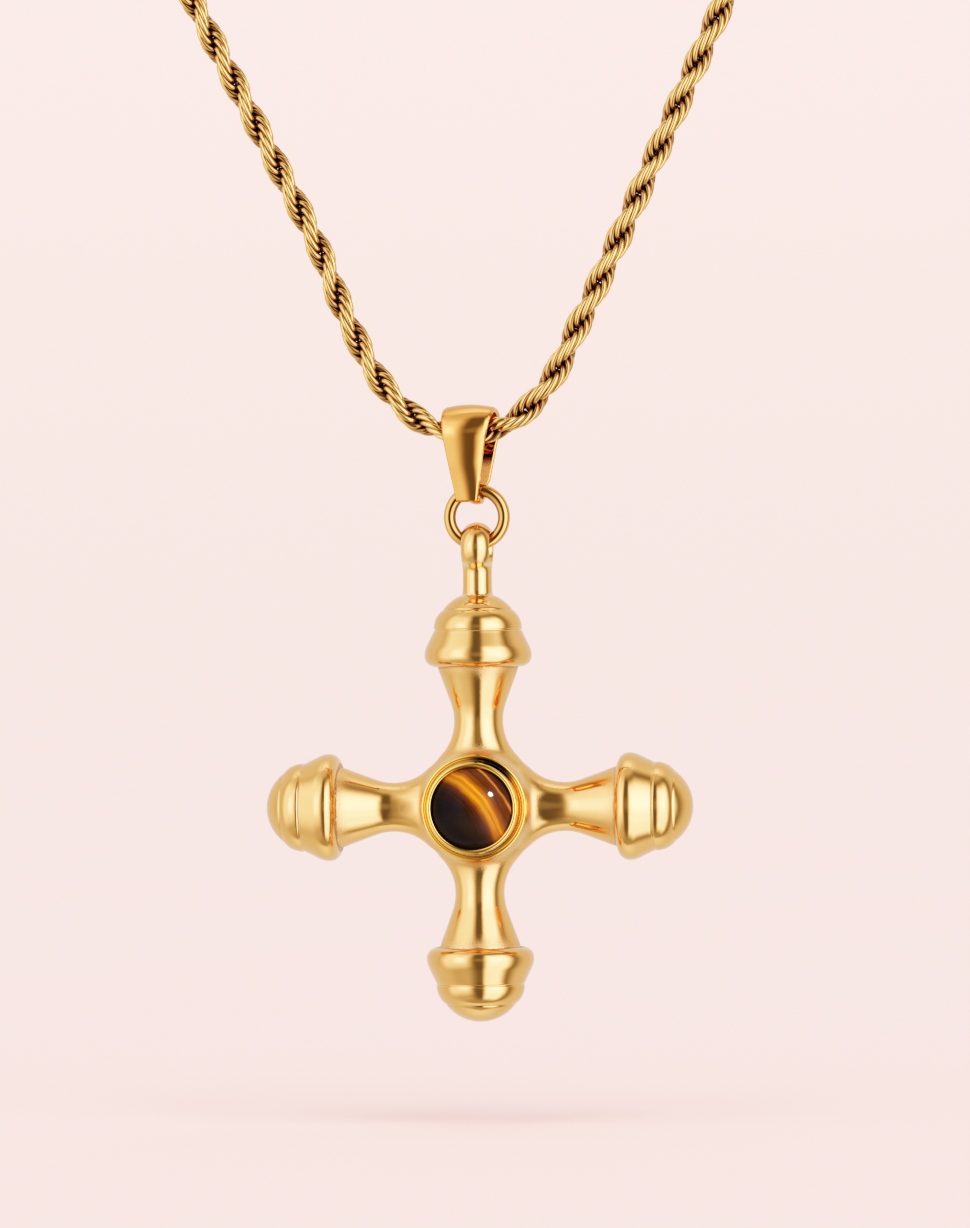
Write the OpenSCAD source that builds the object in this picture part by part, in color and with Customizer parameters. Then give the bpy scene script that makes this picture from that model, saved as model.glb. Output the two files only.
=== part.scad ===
// Cross pendant on a rope chain, as it hangs when worn.
// The front faces -Y and up is +Z. The origin is where the clasp rests on the nape.

/* [Cross arms] */
// Distance from the cross's centre to the tip of each arm
arm_reach = 20.4; // [20:0.1:21]
// Radius of each arm at its narrow waist
waist_r = 2.33; // [2.1:0.05:2.6]
// Distance from the centre to the waist
waist_at = 8.2; // [8:0.1:8.5]
// Radius of the hollow curve round the waist
waist_curve = 4.8; // [4.6:0.1:5.2]
// Slope of the arm from the waist out to its knob, in degrees
flare_deg = 20; // [17:1:22]
// Half width of the middle block where the arms meet
hub_half = 4.1; // [4:0.05:4.2]

/* [End knobs] */
// Widest radius of a knob
knob_r = 5.1; // [4.8:0.05:5.3]
// Distance from the centre to the flat underside of a knob
knob_from = 13.3; // [13:0.1:13.6]
// Radius of the round rim at the knob's underside
rim_curve = 1.05; // [0.8:0.05:1.2]
// Radius of the curve from the rim to the shoulder
crown_curve = 2.2; // [1.8:0.1:2.6]
// Slope of the shoulder, in degrees
shoulder_deg = 26; // [24:1:32]
// Distance from the centre to the crease under the second tier
crease_at = 16.8; // [16.6:0.1:17]
// Widest radius of the second tier
tier_r = 4.2; // [4:0.05:4.3]
// Radius of the second tier's curve
tier_curve = 2.2; // [2:0.1:2.4]
// Ball radius of the dome at the tip
dome_curve = 4.1; // [3.9:0.05:4.3]

/* [Boss and stone] */
// Radius of the boss
boss_r = 5.03; // [4.9:0.01:5.2]
// Distance from the arms' axis to the top of the boss's rim
boss_front = 4.16; // [4.1:0.02:4.3]
// Distance from the arms' axis to the highest point of the domed back
boss_back = 4.6; // [4.5:0.1:5]
// Wire radius of the boss's raised rim
boss_rim = 0.24; // [0.2:0.01:0.26]
// Distance from the arms' axis to the bezel's lip
bezel_front = 5.72; // [5.6:0.02:5.9]
// Radius of the round lip that holds the stone
lip_curve = 0.27; // [0.25:0.01:0.3]
// Radius of the stone
stone_r = 3.95; // [3.9:0.01:4]
// Distance from the arms' axis to the top of the stone
stone_front = 7.5; // [7.2:0.1:7.8]
// Ball radius of the stone's dome
stone_curve = 4.3; // [4.25:0.05:4.4]

/* [Eye of the cross] */
// Distance from the cross's centre to the centre of the eye
eye_at = 24.6; // [24.4:0.1:25]
// Radius of the eye's hole
eye_hole_r = 1.05; // [1:0.01:1.1]
// Thickness of the eye's bar, from the hole outward
eye_bar = 1.38; // [1.2:0.02:1.5]
// Half width of the eye along its hole
eye_half_w = 1.36; // [1.2:0.02:1.4]
// Radius of the post under the eye
post_r = 1.38; // [1.2:0.02:1.4]

/* [Jump ring] */
// Radius from the ring's centre to the middle of its wire
ring_r = 2.6; // [2.55:0.01:2.65]
// Radius of the ring's wire
ring_wire_r = 0.575; // [0.5:0.005:0.6]

/* [Bail] */
// Inner radius of the arch over the chain
arch_r = 2; // [1.95:0.05:2.2]
// Inner radius of the fold under the ring
fold_r = 0.9; // [0.88:0.01:0.92]
// Thickness of the strip
strip_t = 0.42; // [0.35:0.01:0.5]
// Half width of the strip at the arch
strip_top = 2.46; // [2.2:0.02:2.5]
// Half width of the leaves at their lower end
strip_low = 1.04; // [0.9:0.02:1.1]
// Half width of the tab that folds under the ring
tab_half = 0.55; // [0.45:0.05:0.6]
// How much lower the arch's edges are than its middle
strip_crown = 0.25; // [0.1:0.05:0.3]
// How far the bail is turned on the chain, in degrees
bail_turn = 8; // [6:1:9]

/* [Chain] */
// Diameter of the rope chain, over the outer shape's corners
chain_d = 2.8; // [2.6:0.1:2.8]
// Number of flat sides round the chain's outer shape
chain_sides = 8; // [8, 10, 12]

/* [Clasp] */
// Diameter of the barrel
clasp_d = 4; // [3.9:0.1:4.6]
// Length of the barrel
clasp_l = 13; // [12.6:0.2:14]
// Radius of the sockets that take the chain's ends
socket_r = 1.52; // [1.5:0.02:1.6]

/* [Hidden] */
$fn = 96;
gold = [0.87, 0.68, 0.36];
gold_bright = [0.92, 0.76, 0.34];
stone_brown = [0.34, 0.17, 0.06];
clear = 0.1;

// Route of one side of the chain, from the bail to the clasp. Columns: distance from the middle
// of the V, Y, height above the bail, how far the right side is ahead of the left one, and X of
// the middle of the V, which hangs a little left of the cross.
ACROSS = 0;
DEPTH = 1;
RISE = 2;
SKEW = 3;
MIDDLE = 4;
side_route = [
    [0, -95, 0, 0, -0.7], [4, -95, 0.8, 0.55, -0.8], [7.6, -95, 4, 0.8, -0.9],
    [11.2, -95, 10.4, 0.9, -1], [14.3, -95, 17.5, 0.8, -0.7], [18.1, -95, 25.5, 0.7, -0.85],
    [25.4, -95, 40.8, 0.3, -1.2], [32.4, -94.5, 56, 0, -1.3], [39.3, -92, 70.5, 0, -1.2],
    [45.7, -87, 85, 0, -1], [51.6, -78.5, 98.5, 0, -0.8], [56, -67, 110.5, 0, -0.6],
    [58.5, -53.5, 122, 0, -0.4], [57.5, -40, 132.5, 0, -0.2], [53, -27, 142, 0, 0],
    [45, -15, 150, 0, 0], [33.5, -6, 156.5, 0, 0], [20, 0, 160.5, 0, 0], [11, 1.8, 161.8, 0, 0],
    [4, 2, 162, 0, 0]
];
turns = len(side_route) - 1;
ring_steps = 2;
neck_y = -45;

// Places of the hanging parts: the bail's arch centre, the ring's centre and the cross's centre.
// The ring's centre is ring_drop below the arch's centre.
ring_drop = 8.1;
bail_at = [-0.5, side_route[0][DEPTH], -side_route[turns][RISE]];
ring_at = [0, side_route[0][DEPTH], bail_at[2] - ring_drop];
// The eye's centre lies this far under the middle of the ring's wire
eye_under_wire = 0.31;
cross_at = ring_at - [0, 0, ring_r + eye_under_wire + eye_at];

// Arm outline
flare_r = waist_r + waist_curve * (1 - cos(flare_deg));
flare_at = waist_at + waist_curve * sin(flare_deg);
neck_end_r = flare_r + (knob_from - flare_at) * tan(flare_deg);
widest_at = knob_from + rim_curve;
shoulder_r = knob_r - crown_curve * (1 - cos(shoulder_deg));
shoulder_at = widest_at + crown_curve * sin(shoulder_deg);
crease_r = shoulder_r - (crease_at - shoulder_at) * tan(shoulder_deg);
tier_at = crease_at + 0.15;

// Boss and bezel
boss_shelf = boss_front - boss_rim;
back_curve = 6.2;
lip_r = stone_r + clear + 0.03;
lip_at = bezel_front - lip_curve;
wall_r = lip_r + lip_curve;
seat_r = stone_r + clear;
seat_at = 3.8;

// Eye section: an outer and an inner curve, with the inner one as round as the ring
eye_r = eye_hole_r + eye_bar;
eye_outer_curve = 1.6;
eye_inner_curve = ring_r - ring_wire_r;
post_foot = arm_reach - 0.7;
post_head = eye_at - eye_hole_r - eye_bar / 2;

// Bail: its leaves lean in from the arch to the fold, which is round the ring's wire. Heights are
// from the arch's centre: the start of the taper, the lower ends of the leaves and the tab's top.
fold_drop = ring_drop - ring_r;
arch_out = arch_r + strip_t;
fold_out = fold_r + strip_t;
leaf_deg = asin((arch_out - fold_out) / fold_drop);
arch_crown = (strip_top * strip_top + strip_crown * strip_crown) / (2 * strip_crown);
taper_from = 1.7;
face_low = -6.62;
rear_low = -5.5;
tab_from = -5.85;
tab_x = 0.55;
// The front leaf's lower end lies this far to the side, and the rear leaf's the other way
face_lean = -0.2;
rear_lean = 0.15;

// Clasp
chain_end = side_route[turns][ACROSS];
socket_floor = chain_end - clear;
groove_w = 0.35;
groove_depth = 0.15;

// Chain route
function unit(v) = v / norm(v);
function side_point(i, side) = [
    side * side_route[i][ACROSS] + side_route[i][MIDDLE],
    side_route[i][DEPTH] - side * side_route[i][SKEW],
    side_route[i][RISE] - side_route[turns][RISE]
];
// Whole loop, from the left end through the bail to the right end
loop = [for (k = [-turns : turns]) side_point(abs(k), k < 0 ? -1 : 1)];
function pace(i) = norm(loop[i + 1] - loop[i]);
function heading(i) =
    i == 0 ? unit(loop[1] - loop[0]) :
    i == 2 * turns ? unit(loop[i] - loop[i - 1]) :
    unit(unit(loop[i] - loop[i - 1]) * pace(i) + unit(loop[i + 1] - loop[i]) * pace(i - 1));
// Point on the smooth curve from loop point i to the next, at t from 0 to 1
function curve_point(i, t) =
    let (a = heading(i) * pace(i), b = heading(i + 1) * pace(i), s = 1 - t)
    loop[i] * (1 + 2 * t) * s * s + a * t * s * s + loop[i + 1] * t * t * (3 - 2 * t) - b * t * t * s;
function curve_heading(i, t) =
    let (a = heading(i) * pace(i), b = heading(i + 1) * pace(i), step = loop[i + 1] - loop[i])
    unit(step * 6 * t * (1 - t) + a * (1 - t) * (1 - 3 * t) + b * t * (3 * t - 2));

// Corners of one ring round the route. The first side faces away from the neck.
function chain_ring(i, t) =
    let (
        p = curve_point(i, t),
        h = curve_heading(i, t),
        out = [p[0], p[1] - neck_y, 0],
        n = unit(out - h * (out * h)),
        m = cross(h, n)
    )
    [for (k = [0 : chain_sides - 1])
        p + chain_d / 2 * (n * cos(360 * k / chain_sides) + m * sin(360 * k / chain_sides))];

// Chain between two points of the loop, as one closed tube
module chain_tube(from, to) {
    rings = concat(
        [for (i = [from : to - 1], j = [0 : ring_steps - 1]) chain_ring(i, j / ring_steps)],
        [chain_ring(to - 1, 1)]
    );
    last = len(rings) - 1;
    n = chain_sides;
    walls = [for (i = [0 : last - 1], k = [0 : n - 1], half = [0, 1])
        half == 0 ? [i * n + k, i * n + (k + 1) % n, (i + 1) * n + (k + 1) % n]
                  : [i * n + k, (i + 1) * n + (k + 1) % n, (i + 1) * n + k]];
    ends = [[for (k = [n - 1 : -1 : 0]) k], [for (k = [0 : n - 1]) last * n + k]];
    polyhedron(points = [for (ring = rings, p = ring) p], faces = concat(walls, ends));
}

// Right half of the outline of two opposite arms, with the radius along X and the arm along Y
module arm_outline() {
    // Neck with its hollow waist
    difference() {
        polygon([[0, 0], [hub_half, 0], [hub_half, hub_half], [flare_r, flare_at],
                 [neck_end_r, knob_from], [0, knob_from]]);
        translate([waist_r + waist_curve, waist_at]) circle(r = waist_curve);
    }
    // Rim and shoulder of the knob
    translate([knob_r - rim_curve, widest_at]) circle(r = rim_curve);
    intersection() {
        translate([knob_r - crown_curve, widest_at]) circle(r = crown_curve);
        translate([0, widest_at]) square([knob_r + 1, crown_curve]);
    }
    polygon([[0, knob_from - 0.5], [neck_end_r - 0.4, knob_from - 0.5], [neck_end_r - 0.4, knob_from],
             [knob_r - rim_curve, knob_from], [knob_r - rim_curve, widest_at],
             [shoulder_r, shoulder_at], [crease_r, crease_at], [0, crease_at]]);
    // Second tier
    intersection() {
        translate([tier_r - tier_curve, tier_at]) circle(r = tier_curve);
        translate([0, crease_at - 0.5]) square([tier_r + 1, tier_curve + 1]);
    }
    // Dome
    intersection() {
        translate([0, arm_reach - dome_curve]) circle(r = dome_curve);
        translate([0, crease_at - 0.5]) square([knob_r, dome_curve + 1]);
    }
}

// Two opposite arms, turned as one piece along Z
module arm_pair() {
    rotate_extrude() {
        arm_outline();
        mirror([0, 1]) arm_outline();
    }
}

// Round boss with a domed back and a raised rim, along Z
module boss() {
    rotate_extrude() {
        intersection() {
            translate([0, back_curve - boss_back]) circle(r = back_curve);
            translate([0, -boss_back]) square([boss_r, boss_back + boss_shelf]);
        }
        translate([boss_r - boss_rim, boss_shelf]) circle(r = boss_rim);
        translate([boss_r - 2 * boss_rim, boss_shelf - 1]) square([2 * boss_rim, 1]);
    }
}

// Bezel wall that leans in to a round lip over the stone, along Z
module bezel() {
    rotate_extrude() {
        translate([lip_r, lip_at]) circle(r = lip_curve);
        polygon([[seat_r, seat_at - 0.2], [wall_r + 0.12, seat_at - 0.2],
                 [wall_r, lip_at], [seat_r, lip_at]]);
    }
}

// Eye that the ring passes through along X, on its post
module eye() {
    translate([0, 0, eye_at]) rotate([0, 90, 0]) rotate_extrude() intersection() {
        translate([eye_r - eye_outer_curve, 0]) circle(r = eye_outer_curve);
        translate([eye_hole_r + eye_inner_curve, 0]) circle(r = eye_inner_curve);
        translate([0, -eye_half_w]) square([eye_r + 1, 2 * eye_half_w]);
    }
    translate([0, 0, post_foot]) cylinder(r = post_r, h = post_head - post_foot);
}

module cross_piece() {
    color(gold) translate(cross_at) {
        difference() {
            union() {
                arm_pair();
                rotate([0, 90, 0]) arm_pair();
                rotate([90, 0, 0]) boss();
                eye();
            }
            rotate([90, 0, 0]) translate([0, 0, seat_at]) cylinder(r = seat_r, h = 5);
        }
        rotate([90, 0, 0]) bezel();
    }
}

module stone() {
    color(stone_brown) translate(cross_at) rotate([90, 0, 0]) intersection() {
        translate([0, 0, stone_front - stone_curve]) sphere(r = stone_curve);
        translate([0, 0, seat_at + clear]) cylinder(r = stone_r, h = stone_front);
    }
}

module jump_ring() {
    color(gold) translate(ring_at) rotate([90, 0, 0]) rotate_extrude()
        translate([ring_r, 0]) circle(r = ring_wire_r);
}

// Side outline of the bail: a large circle over the chain and a small one round the ring
module drop_outline(top_r, low_r) {
    lean = asin((top_r - low_r) / fold_drop);
    circle(r = top_r);
    translate([0, -fold_drop]) circle(r = low_r);
    polygon([[top_r * cos(lean), -top_r * sin(lean)],
             [low_r * cos(lean), -fold_drop - low_r * sin(lean)],
             [-low_r * cos(lean), -fold_drop - low_r * sin(lean)],
             [-top_r * cos(lean), -top_r * sin(lean)]]);
}

// Half width of the strip at height z from the arch's centre
function strip_half(z) = strip_low + (strip_top - strip_low) * (z - face_low) / (taper_from - face_low);

// X of a leaf's edge at height z, on the side -1 or 1
function strip_edge(z, side, lean) =
    side * strip_half(z) + lean * (z - taper_from) / (face_low - taper_from);

// Front outline of the strip down to height low, with the arch crowned
module strip_outline(low, lean) {
    intersection() {
        polygon([[-strip_top, arch_out], [-strip_top, taper_from], [strip_edge(low, -1, lean), low],
                 [strip_edge(low, 1, lean), low], [strip_top, taper_from], [strip_top, arch_out]]);
        translate([0, arch_out - arch_crown]) circle(r = arch_crown);
    }
}

// Lower end of the front leaf, which runs on past the fold
module leaf_end() {
    foot = [-fold_out * cos(leaf_deg), -fold_drop - fold_out * sin(leaf_deg)];
    in = [strip_t / cos(leaf_deg), 0];
    along = [tan(leaf_deg), -1];
    polygon([foot - along, foot + along * (foot[1] - face_low), foot + along * (foot[1] - face_low) + in,
             foot - along + in]);
}

module bail() {
    color(gold) translate(bail_at) rotate([0, 0, -bail_turn]) {
        // Loop over the chain and round the ring, with the fold cut to a narrow tab
        difference() {
            intersection() {
                rotate([90, 0, 90]) linear_extrude(height = 6, center = true)
                    drop_outline(arch_out, fold_out);
                rotate([90, 0, 0]) {
                    linear_extrude(height = 4) strip_outline(rear_low, face_lean);
                    mirror([0, 0, 1]) linear_extrude(height = 4) {
                        strip_outline(rear_low, rear_lean);
                        polygon([[strip_edge(rear_low, -1, rear_lean), rear_low + 0.01],
                                 [strip_edge(rear_low, 1, rear_lean), rear_low + 0.01],
                                 [tab_x + tab_half, tab_from], [tab_x - tab_half, tab_from]]);
                    }
                    linear_extrude(height = 8, center = true)
                        translate([tab_x - tab_half, -fold_drop - 2])
                            square([2 * tab_half, fold_drop + 2 + rear_low + 0.01]);
                }
            }
            rotate([90, 0, 90]) linear_extrude(height = 7, center = true) drop_outline(arch_r, fold_r);
        }
        intersection() {
            rotate([90, 0, 90]) linear_extrude(height = 6, center = true) leaf_end();
            rotate([90, 0, 0]) linear_extrude(height = 8, center = true)
                strip_outline(face_low, face_lean);
        }
    }
}

module chain_left() {
    color(gold) chain_tube(0, turns);
}

module chain_right() {
    color(gold) chain_tube(turns, 2 * turns);
}

// Plain barrel with a socket at each end and a groove where its halves would part
module clasp() {
    color(gold_bright) translate([0, clasp_d / 2, 0]) rotate([0, 90, 0]) rotate_extrude() difference() {
        intersection() {
            translate([0, -clasp_l / 2]) square([clasp_d / 2, clasp_l]);
            circle(r = norm([clasp_l / 2, socket_r + 0.1]));
        }
        translate([0, socket_floor]) square([socket_r, clasp_l]);
        translate([0, -socket_floor - clasp_l]) square([socket_r, clasp_l]);
        translate([clasp_d / 2 - groove_depth, -groove_w / 2]) square([1, groove_w]);
    }
}

cross_piece();  // cross
stone();
jump_ring();
bail();
chain_left();
chain_right();
clasp();
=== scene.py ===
"""Cross necklace, dressed for a studio picture.

A turned gold cross with a round banded stone hangs by its eye from a jump ring. A folded bail
carries the ring on a closed rope chain, which a barrel clasp shuts at the nape. Sizes are in
millimetres in the model's own frame, with the front at -Y and up at +Z.
"""

import functools
import itertools
import logging
import math
import sys
from collections.abc import Callable
from dataclasses import dataclass, field
from enum import Enum
from typing import ClassVar, NamedTuple

import bpy
import numpy as np
from mathutils import Matrix, Vector

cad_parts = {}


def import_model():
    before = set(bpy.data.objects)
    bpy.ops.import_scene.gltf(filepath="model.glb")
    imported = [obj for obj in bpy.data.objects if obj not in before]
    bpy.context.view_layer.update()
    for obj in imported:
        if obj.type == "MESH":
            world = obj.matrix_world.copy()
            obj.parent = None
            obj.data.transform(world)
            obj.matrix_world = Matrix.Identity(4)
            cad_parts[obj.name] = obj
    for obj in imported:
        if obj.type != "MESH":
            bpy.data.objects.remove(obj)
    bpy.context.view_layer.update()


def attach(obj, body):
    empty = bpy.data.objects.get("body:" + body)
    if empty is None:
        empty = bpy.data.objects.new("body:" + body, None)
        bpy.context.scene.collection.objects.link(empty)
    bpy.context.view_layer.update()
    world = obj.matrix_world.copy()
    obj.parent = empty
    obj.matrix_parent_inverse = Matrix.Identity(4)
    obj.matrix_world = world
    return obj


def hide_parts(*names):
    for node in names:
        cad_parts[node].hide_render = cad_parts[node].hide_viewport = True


LOG = logging.getLogger("necklace")
MM = 0.001
Array = np.ndarray
Surface = tuple[Array, list]
Distance = Callable[[Array], Array]
Socket = bpy.types.NodeSocket
Value = Socket | float | tuple

# Route of one side of the chain, from the bail to the clasp: distance from the middle of the V,
# Y, height above the bail, lead of the right side, and X of the middle of the V.
SIDE_ROUTE = (
    (0, -95, 0, 0, -0.7), (4, -95, 0.8, 0.55, -0.8), (7.6, -95, 4, 0.8, -0.9),
    (11.2, -95, 10.4, 0.9, -1), (14.3, -95, 17.5, 0.8, -0.7), (18.1, -95, 25.5, 0.7, -0.85),
    (25.4, -95, 40.8, 0.3, -1.2), (32.4, -94.5, 56, 0, -1.3), (39.3, -92, 70.5, 0, -1.2),
    (45.7, -87, 85, 0, -1), (51.6, -78.5, 98.5, 0, -0.8), (56, -67, 110.5, 0, -0.6),
    (58.5, -53.5, 122, 0, -0.4), (57.5, -40, 132.5, 0, -0.2), (53, -27, 142, 0, 0),
    (45, -15, 150, 0, 0), (33.5, -6, 156.5, 0, 0), (20, 0, 160.5, 0, 0), (11, 1.8, 161.8, 0, 0),
    (4, 2, 162, 0, 0),
)

# How the pendant hangs: its Y, the bail's arch below the nape, the ring's middle below the arch,
# the ring's radius, the eye's middle below the ring's wire, and the eye above the cross's centre.
FRONT = -95.0
DROP = 162.0
RING_DROP = 8.1
RING_R = 2.6
EYE_SAG = 0.31
EYE_AT = 24.6
BAIL_AT = (-0.5, FRONT, -DROP)
RING_AT = (0.0, FRONT, -DROP - RING_DROP)
CROSS_AT = (0.0, FRONT, RING_AT[2] - RING_R - EYE_SAG - EYE_AT)


class Along(Enum):
    """Axis that a piece is turned about, as the order of its columns."""

    X = (2, 0, 1)
    Y = (1, 2, 0)
    Z = (0, 1, 2)


# Shapes


def arc(centre: tuple[float, float], radius: float, start: float, end: float, steps: int) -> list:
    """Points on an arc of an outline.

    Args:
        centre: Radius and height of the arc's centre.
        radius: Arc radius.
        start: First angle in degrees, from the radius axis toward the height axis.
        end: Last angle in degrees.
        steps: Number of stretches.

    Returns:
        The points, as (radius, height).
    """
    angles = np.radians(np.linspace(start, end, steps + 1))
    return [(centre[0] + radius * math.cos(a), centre[1] + radius * math.sin(a)) for a in angles]


def circle(centre: tuple[float, float], radius: float, points: int) -> list:
    """Points round a whole circle of an outline."""
    return arc(centre, radius, 0, 360 - 360 / points, points - 1)


def turned(outline: list, sides: int, along: Along, closed: bool = False) -> Surface:
    """Surface made by turning an outline.

    Args:
        outline: Points as (radius, height). A radius of zero closes the surface.
        sides: Number of sides round the axis.
        along: Axis of the turning.
        closed: Whether the outline's last point joins its first.

    Returns:
        The vertices and the faces.
    """
    angles = np.linspace(0, 2 * math.pi, sides, endpoint=False)
    verts, rows = [], []
    for radius, height in outline:
        first = len(verts)
        if radius:
            rows.append(list(range(first, first + sides)))
            verts += [(radius * math.cos(a), radius * math.sin(a), height) for a in angles]
        else:
            rows.append([first] * sides)
            verts.append((0.0, 0.0, height))
    faces = []
    for low, high in zip(rows, rows[1:] + rows[:1] if closed else rows[1:]):
        for k in range(sides):
            j = (k + 1) % sides
            face = list(dict.fromkeys((low[k], low[j], high[j], high[k])))
            if len(face) > 2:
                faces.append(face)
    return np.array(verts)[:, list(along.value)], faces


def facing_front(surface: Surface) -> Surface:
    """Surface turned along +Y, mirrored to face -Y."""
    return surface[0] * np.array([1, -1, 1]), [face[::-1] for face in surface[1]]


def join(parts: list[Surface]) -> Surface:
    """One surface from several.

    Args:
        parts: Pairs of vertices and faces.

    Returns:
        The joined vertices and faces.
    """
    verts, faces, start = [], [], 0
    for points, polygons in parts:
        verts.append(points)
        faces += [[i + start for i in polygon] for polygon in polygons]
        start += len(points)
    return np.concatenate(verts), faces


def swell(values: Array, middle: float, strength: float, reach: float, power: int = 2) -> Array:
    """Smooth bump along some values.

    Args:
        values: Values to look at.
        middle: Value where the bump is highest.
        strength: Its height there.
        reach: Distance at which about a third is left.
        power: How square the bump is.

    Returns:
        The bump's height at each value.
    """
    return strength * np.exp(-((values - middle) / reach)**power)


def share(value: float, none: float, full: float) -> float:
    """How far a value has come from one limit to another, from 0 to 1."""
    return min(max((value - none) / (full - none), 0), 1)


def soft_min(a: Array, b: Array, blend: float) -> Array:
    """Smaller of two distances, with the join between them rounded.

    Args:
        a: First distance.
        b: Second distance.
        blend: Width of the rounded join.

    Returns:
        The blended distance.
    """
    h = np.maximum(blend - np.abs(a - b), 0) / blend
    return np.minimum(a, b) - h * h * blend / 4


def soft_max(a: Array, b: Array, blend: float) -> Array:
    """Larger of two distances, with the join between them rounded."""
    return -soft_min(-a, -b, blend)


def skin(distance: Distance, low: tuple, high: tuple, step: float) -> Surface:
    """Mesh of the surface where a distance function is zero.

    Args:
        distance: Function from points to signed distances, negative inside.
        low: Lowest corner of the space to search.
        high: Highest corner of the space to search.
        step: Size of the search grid.

    Returns:
        The vertices, which lie on the surface, and the four-sided faces.
    """
    axes = [np.arange(a, b + step, step) for a, b in zip(low, high)]
    grid = np.stack(np.meshgrid(*axes, indexing="ij"), -1)
    value = distance(grid.reshape(-1, 3)).reshape(grid.shape[:3])
    verts, number = cell_points(value, grid)
    return settled(distance, verts, step / 2), cell_faces(value < 0, number).tolist()


def cell_points(value: Array, grid: Array) -> tuple[Array, Array]:
    """Mean place, in each cell of a grid, where its edges cross the surface.

    Args:
        value: Signed distance at each point of the grid.
        grid: Points of the grid.

    Returns:
        The places, and each cell's number among them, or -1 where nothing crosses.
    """
    shape = tuple(n - 1 for n in value.shape)
    total, weight = np.zeros((*shape, 3)), np.zeros(shape)

    def at(corner: tuple, values: Array) -> Array:
        """Values at one corner of every cell."""
        return values[tuple(slice(c, c + n) for c, n in zip(corner, shape))]

    for a, axis in itertools.product(itertools.product((0, 1), repeat=3), range(3)):
        if a[axis]:
            continue
        b = tuple(1 if n == axis else v for n, v in enumerate(a))
        va, vb = at(a, value), at(b, value)
        cut = (va < 0) != (vb < 0)
        t = np.where(cut, va / np.where(cut, va - vb, 1), 0)[..., None]
        total += np.where(cut[..., None], at(a, grid) * (1 - t) + at(b, grid) * t, 0)
        weight += cut
    used = weight > 0
    number = np.full(shape, -1)
    number[used] = np.arange(used.sum())
    return total[used] / weight[used][:, None], number


def cell_faces(inside: Array, number: Array) -> Array:
    """Faces round the edges of a grid that cross the surface.

    Args:
        inside: Whether each point of the grid is inside.
        number: Number of each cell's vertex.

    Returns:
        The four-sided faces, turned outward.
    """
    faces = []
    for axis in range(3):
        first, second = [slice(None)] * 3, [slice(None)] * 3
        first[axis], second[axis] = slice(0, -1), slice(1, None)
        start = inside[tuple(first)]
        place = np.argwhere(start != inside[tuple(second)])
        start = start[tuple(place.T)]
        sides = [(axis + 1) % 3, (axis + 2) % 3]
        beside = place[:, sides]
        whole = ((beside > 0) & (beside < np.array(number.shape)[sides])).all(axis=1)
        place, start = place[whole], start[whole]
        corners = []
        for back in ((1, 1), (0, 1), (0, 0), (1, 0)):
            cell = place.copy()
            cell[:, sides] -= back
            corners.append(number[tuple(cell.T)])
        quads = np.stack(corners, 1)
        quads[~start] = quads[~start][:, ::-1]
        faces.append(quads)
    return np.concatenate(faces)


def settled(distance: Distance, verts: Array, longest: float, rounds: int = 4) -> Array:
    """Vertices moved down the slope onto the surface.

    Args:
        distance: Function from points to signed distances.
        verts: Vertices near the surface.
        longest: Longest step along an axis.
        rounds: Number of steps.

    Returns:
        The moved vertices.
    """
    for _ in range(rounds):
        slope = gradient(distance, verts)
        size = np.maximum((slope**2).sum(1), 0.05)
        verts = verts - np.clip(slope * (distance(verts) / size)[:, None], -longest, longest)
    return verts


def gradient(distance: Distance, points: Array) -> Array:
    """Slope of a distance function at some points.

    Args:
        distance: Function from points to signed distances.
        points: Points to look at.

    Returns:
        One vector per point.
    """
    reach = 0.01
    steps = np.eye(3) * reach
    return np.stack([(distance(points + s) - distance(points - s)) / (2 * reach) for s in steps], 1)


# Things in the scene


def add_to_scene(name: str, data: bpy.types.ID) -> bpy.types.Object:
    """Object in the scene that shows a mesh, a camera or a lamp.

    Args:
        name: Object's name.
        data: What it shows.

    Returns:
        The object.
    """
    thing = bpy.data.objects.new(name, data)
    bpy.context.scene.collection.objects.link(thing)
    return thing


def make_object(name: str, surface: Surface, at: tuple = (0, 0, 0)) -> bpy.types.Object:
    """Object with a smooth mesh.

    Args:
        name: Object's name.
        surface: Vertices in millimetres, and faces.
        at: Place of the vertices' origin, in millimetres.

    Returns:
        The object, with its place in its mesh.
    """
    verts, faces = surface
    mesh = bpy.data.meshes.new(name)
    mesh.from_pydata([tuple(v) for v in (verts + np.array(at)) * MM], [], faces)
    mesh.validate()
    mesh.update()
    mesh.polygons.foreach_set("use_smooth", [True] * len(mesh.polygons))
    return add_to_scene(name, mesh)


def paint(piece: bpy.types.Object, name: str, values: Array | list) -> None:
    """Stores one number per vertex for a finish to read.

    Args:
        piece: Object that gets the numbers.
        name: Name of the attribute.
        values: One number per vertex.
    """
    layer = piece.data.attributes.new(name, "FLOAT", "POINT")
    layer.data.foreach_set("value", np.asarray(values, np.float32))


def direction(azimuth: float, elevation: float) -> Vector:
    """Unit vector toward a place round the object.

    Args:
        azimuth: Degrees from the front toward +X.
        elevation: Degrees above level.

    Returns:
        The vector.
    """
    az, el = math.radians(azimuth), math.radians(elevation)
    return Vector((math.sin(az) * math.cos(el), -math.cos(az) * math.cos(el), math.sin(el)))


# Finishes


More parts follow.
